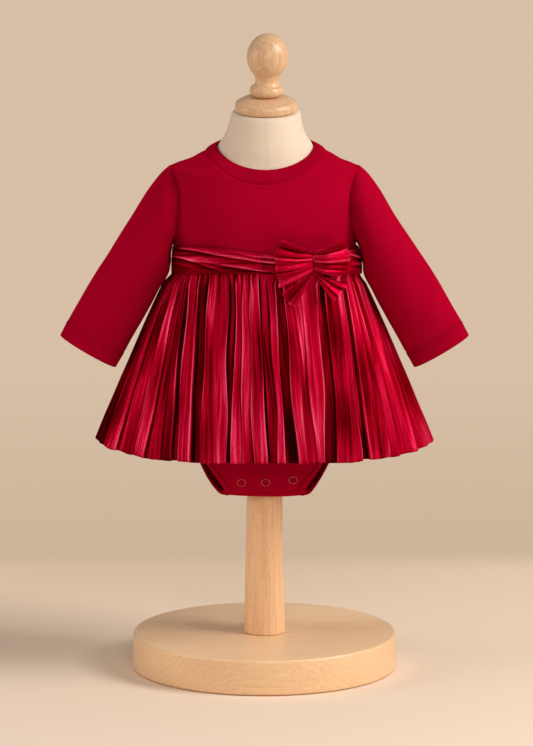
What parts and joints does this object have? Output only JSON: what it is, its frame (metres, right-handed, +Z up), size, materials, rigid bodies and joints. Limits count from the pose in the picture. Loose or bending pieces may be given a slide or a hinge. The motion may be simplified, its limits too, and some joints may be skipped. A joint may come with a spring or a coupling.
{
  "type": "toddler party dress on a tabletop dress form",
  "caption": "Long-sleeved knit bodysuit dress with a pleated velvet skirt, wrapped sash and bow, worn by a limbless wooden tabletop dress form.",
  "frame": {"origin": "centre of the stand's underside", "axes": "+Z up along the pole, -Y out of the dress's front, +X to the side of the bow"},
  "size_m": [0.438, 0.28, 0.693],
  "materials": {
    "knit": "matte smooth knit",
    "velvet": "crushed velvet with a bright nap",
    "lining": "matte plain weave",
    "linen": "matte fine linen",
    "beech": "satin clear coat",
    "snap_metal": "coppery satin"
  },
  "bodies": {
    "root": {"base_disc": "beech", "pole": "beech", "form_torso": "linen", "neck_plate": "beech", "finial_knob": "beech", "bodice_front": "knit", "bodice_back": "knit", "neckband": "knit", "sleeve_left": "knit", "sleeve_right": "knit", "panty_front": "knit", "panty_back": "knit", "leg_binding_front_left": "knit", "leg_binding_front_right": "knit", "leg_binding_back_left": "knit", "leg_binding_back_right": "knit", "snap_left": "snap_metal", "snap_centre": "snap_metal", "snap_right": "snap_metal", "skirt_front": "velvet", "skirt_back": "velvet", "skirt_lining": "lining", "sash": "velvet", "bow_loop_left": "velvet", "bow_loop_right": "velvet", "bow_tail_left": "velvet", "bow_tail_right": "velvet"}
  },
  "joints": []
}
